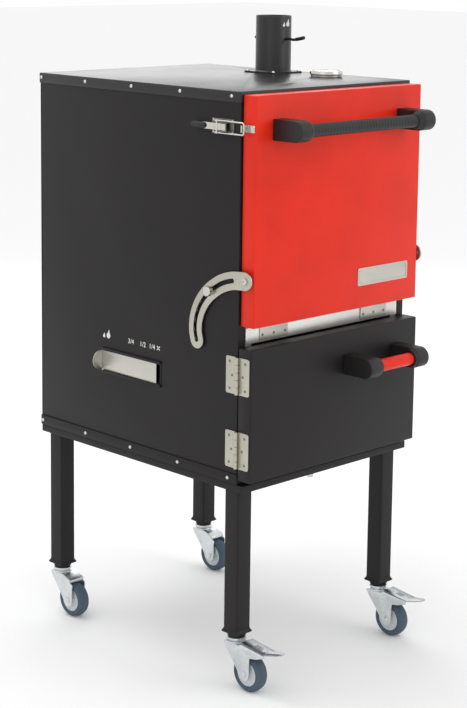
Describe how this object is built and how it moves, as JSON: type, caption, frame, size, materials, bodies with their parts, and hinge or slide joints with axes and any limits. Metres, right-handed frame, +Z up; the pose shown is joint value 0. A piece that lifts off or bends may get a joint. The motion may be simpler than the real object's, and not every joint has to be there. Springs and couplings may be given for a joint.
{
  "type": "upright charcoal oven",
  "caption": "Upright insulated charcoal oven on casters, with drop-down oven door on slotted stays, fire door, air slide, flue with damper, thermometer and toggle latch.",
  "frame": {"origin": "centre of the bounding box in plan, on the floor under the wheels", "axes": "+Z up, the doors face -Y, the air slide and the latch are on the -X side"},
  "size_m": [0.5602, 0.7512, 1.3706],
  "materials": {
    "charcoal_paint": "satin charcoal-grey powder coat",
    "red_paint": "semi-gloss orange-red powder coat",
    "stainless": "fine brushed",
    "zinc": "bright zinc plate",
    "black_handle": "matt, fine grain",
    "grey_rubber": "matt blue-grey rubber on a pale hub",
    "cast_iron": "raw black casting",
    "mineral_wool": "fibrous blanket",
    "needle_red": "matt"
  },
  "bodies": {
    "cabinet": {"left_panel": "charcoal_paint", "right_panel": "charcoal_paint", "back_panel": "charcoal_paint", "roof_cap": "charcoal_paint", "base_cap": "charcoal_paint", "leg_frame": "charcoal_paint", "liner": "stainless", "insulation": "mineral_wool", "hinge_rail": "stainless", "charcoal_grate": "cast_iron", "grill_rack": "stainless", "ash_pan": "stainless", "flue_pipe": "charcoal_paint", "thermometer_case": "stainless", "air_guide": "charcoal_paint", "latch_base": "stainless", "upper_hinge_leaf_left": "stainless", "upper_hinge_leaf_right": "stainless", "side_hinge_leaf_bottom": "stainless", "side_hinge_leaf_top": "stainless", "leg_front_left": "charcoal_paint", "leg_front_right": "charcoal_paint", "leg_back_left": "charcoal_paint", "leg_back_right": "charcoal_paint"},
    "upper_door": {"upper_door_shell": "red_paint", "upper_door_inner": "stainless", "upper_handle_bracket_left": "black_handle", "upper_handle_bracket_right": "black_handle", "upper_handle_tube": "black_handle", "upper_hinge_door_leaf_left": "stainless", "upper_hinge_door_leaf_right": "stainless", "latch_keeper": "stainless", "stay_bolt_left": "zinc", "stay_bolt_right": "zinc"},
    "lower_door": {"lower_door_shell": "charcoal_paint", "lower_door_inner": "stainless", "lower_handle_bracket_left": "black_handle", "lower_handle_bracket_right": "black_handle", "lower_handle_grip": "red_paint", "side_hinge_door_leaf_bottom": "stainless", "side_hinge_door_leaf_top": "stainless"},
    "stay_arm_left": {"stay_left": "stainless"},
    "stay_arm_right": {"stay_right": "stainless"},
    "clamp_left": {"thumb_screw_left": "zinc"},
    "clamp_right": {"thumb_screw_right": "zinc"},
    "flue_damper": {"damper": "charcoal_paint"},
    "needle": {"thermometer_pointer": "needle_red"},
    "air_plate": {"air_slide": "stainless"},
    "toggle_lever": {"latch_lever": "stainless"},
    "toggle_bail": {"latch_bail": "stainless"},
    "caster_front_left": {"caster_fork_front_left": "zinc"},
    "roller_front_left": {"wheel_front_left": "grey_rubber"},
    "pedal_body_left": {"brake_pedal_left": "zinc"},
    "caster_front_right": {"caster_fork_front_right": "zinc"},
    "roller_front_right": {"wheel_front_right": "grey_rubber"},
    "pedal_body_right": {"brake_pedal_right": "zinc"},
    "caster_back_left": {"caster_fork_back_left": "zinc"},
    "roller_back_left": {"wheel_back_left": "grey_rubber"},
    "caster_back_right": {"caster_fork_back_right": "zinc"},
    "roller_back_right": {"wheel_back_right": "grey_rubber"}
  },
  "joints": [
    {"name": "door_upper", "type": "hinge", "parent": "cabinet", "child": "upper_door", "pos_m": [0.00155, -0.26015, 0.7688], "axis": [1, 0, 0], "range_deg": [0, 90]},
    {"name": "door_lower", "type": "hinge", "parent": "cabinet", "child": "lower_door", "pos_m": [-0.25795, -0.25835, 0.5936], "axis": [0, 0, -1], "range_deg": [0, 150]},
    {"name": "stay_left", "type": "hinge", "parent": "upper_door", "child": "stay_arm_left", "pos_m": [-0.25895, -0.28035, 0.8686], "axis": [1, 0, 0], "range_deg": [-18.5, 0]},
    {"name": "thumb_screw_left", "type": "hinge", "parent": "cabinet", "child": "clamp_left", "pos_m": [-0.26045, -0.18485, 0.8371], "axis": [-1, 0, 0], "range_deg": [0, 360]},
    {"name": "stay_right", "type": "hinge", "parent": "upper_door", "child": "stay_arm_right", "pos_m": [0.26205, -0.28035, 0.8686], "axis": [1, 0, 0], "range_deg": [-18.5, 0]},
    {"name": "thumb_screw_right", "type": "hinge", "parent": "cabinet", "child": "clamp_right", "pos_m": [0.26355, -0.18485, 0.8371], "axis": [1, 0, 0], "range_deg": [0, 360]},
    {"name": "damper", "type": "hinge", "parent": "cabinet", "child": "flue_damper", "pos_m": [0.17955, 0.07865, 1.3206], "axis": [0, 1, 0], "range_deg": [0, 90]},
    {"name": "pointer", "type": "hinge", "parent": "cabinet", "child": "needle", "pos_m": [0.17955, -0.08435, 1.2536], "axis": [0, 0, -1], "range_deg": [0, 270]},
    {"name": "air_slide", "type": "slide", "parent": "cabinet", "child": "air_plate", "axis": [0, 1, 0], "range_m": [-0.01, 0.12]},
    {"name": "latch_lever", "type": "hinge", "parent": "cabinet", "child": "toggle_lever", "pos_m": [-0.26445, -0.22135, 1.1716], "axis": [0, 0, 1], "range_deg": [0, 120]},
    {"name": "latch_bail", "type": "hinge", "parent": "toggle_lever", "child": "toggle_bail", "pos_m": [-0.26445, -0.20035, 1.1716], "axis": [0, 0, 1], "range_deg": [-121, 0]},
    {"name": "swivel_front_left", "type": "hinge", "parent": "cabinet", "child": "caster_front_left", "pos_m": [-0.22245, -0.23235, 0.1087], "axis": [0, 0, 1], "continuous": true},
    {"name": "wheel_front_left", "type": "hinge", "parent": "caster_front_left", "child": "roller_front_left", "pos_m": [-0.22245, -0.27435, 0.04], "axis": [1, 0, 0], "continuous": true},
    {"name": "pedal_left", "type": "hinge", "parent": "caster_front_left", "child": "pedal_body_left", "pos_m": [-0.22245, -0.27935, 0.0897], "axis": [-1, 0, 0], "range_deg": [0, 14]},
    {"name": "swivel_front_right", "type": "hinge", "parent": "cabinet", "child": "caster_front_right", "pos_m": [0.22555, -0.23235, 0.1087], "axis": [0, 0, 1], "continuous": true},
    {"name": "wheel_front_right", "type": "hinge", "parent": "caster_front_right", "child": "roller_front_right", "pos_m": [0.22555, -0.27435, 0.04], "axis": [1, 0, 0], "continuous": true},
    {"name": "pedal_right", "type": "hinge", "parent": "caster_front_right", "child": "pedal_body_right", "pos_m": [0.22555, -0.27935, 0.0897], "axis": [-1, 0, 0], "range_deg": [0, 14]},
    {"name": "swivel_back_left", "type": "hinge", "parent": "cabinet", "child": "caster_back_left", "pos_m": [-0.22245, 0.33965, 0.1087], "axis": [0, 0, 1], "continuous": true},
    {"name": "wheel_back_left", "type": "hinge", "parent": "caster_back_left", "child": "roller_back_left", "pos_m": [-0.22245, 0.29765, 0.04], "axis": [1, 0, 0], "continuous": true},
    {"name": "swivel_back_right", "type": "hinge", "parent": "cabinet", "child": "caster_back_right", "pos_m": [0.22555, 0.33965, 0.1087], "axis": [0, 0, 1], "continuous": true},
    {"name": "wheel_back_right", "type": "hinge", "parent": "caster_back_right", "child": "roller_back_right", "pos_m": [0.22555, 0.29765, 0.04], "axis": [1, 0, 0], "continuous": true}
  ],
  "couplings": [
    {"joint": "stay_left", "follows": "door_upper", "ratio": -0.195},
    {"joint": "stay_right", "follows": "door_upper", "ratio": -0.195},
    {"joint": "latch_bail", "follows": "latch_lever", "ratio": -1}
  ]
}
